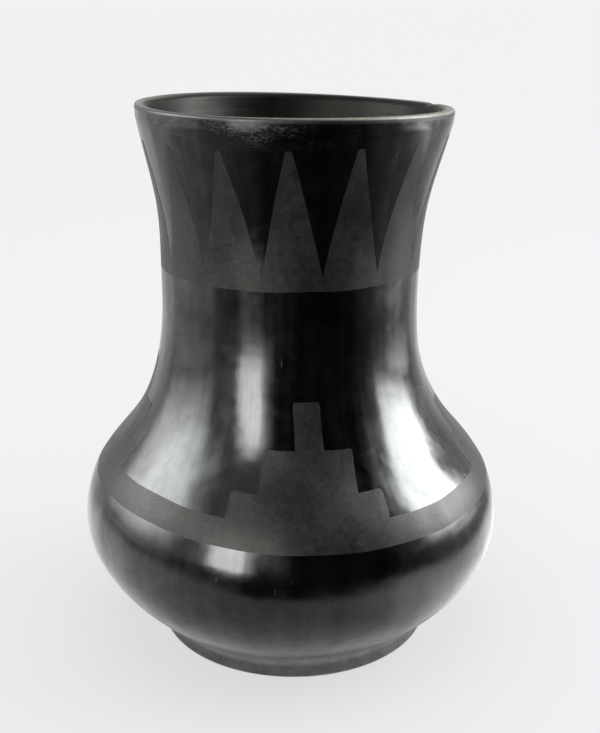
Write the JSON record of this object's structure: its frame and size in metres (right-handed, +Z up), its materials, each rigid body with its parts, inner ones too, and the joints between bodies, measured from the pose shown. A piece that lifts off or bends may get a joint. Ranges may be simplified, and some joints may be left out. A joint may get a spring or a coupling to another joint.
{
  "type": "black clay vase",
  "caption": "Hand-built burnished black clay vase with a round belly, tall neck, flared mouth and matt painted bands.",
  "frame": {"origin": "middle of the foot ring, on the surface that the pot stands on", "axes": "+Z up through the mouth; -Y is the side with the stepped motif that faces the viewer, +X is the viewer's right"},
  "size_m": [0.2064, 0.2064, 0.26],
  "materials": {
    "burnished_clay": "stone-burnished smoke-fired black, mirror-like with fine upright polishing streaks",
    "unburnished_clay": "scraped smoke-fired black, dull",
    "matt_slip": "thin matt slip, dark grey, faintly mottled"
  },
  "bodies": {
    "root": {"base_slab": "unburnished_clay", "foot_ring": "burnished_clay", "belly_coil_1": "burnished_clay", "belly_coil_2": "burnished_clay", "belly_coil_3": "burnished_clay", "shoulder_coil_1": "burnished_clay", "shoulder_coil_2": "burnished_clay", "neck_coil_1": "burnished_clay", "neck_coil_2": "burnished_clay", "mouth_coil_1": "burnished_clay", "mouth_coil_2": "burnished_clay", "rim_coil": "burnished_clay", "tooth_band_slip": "matt_slip", "stepped_band_slip": "matt_slip"}
  },
  "joints": []
}
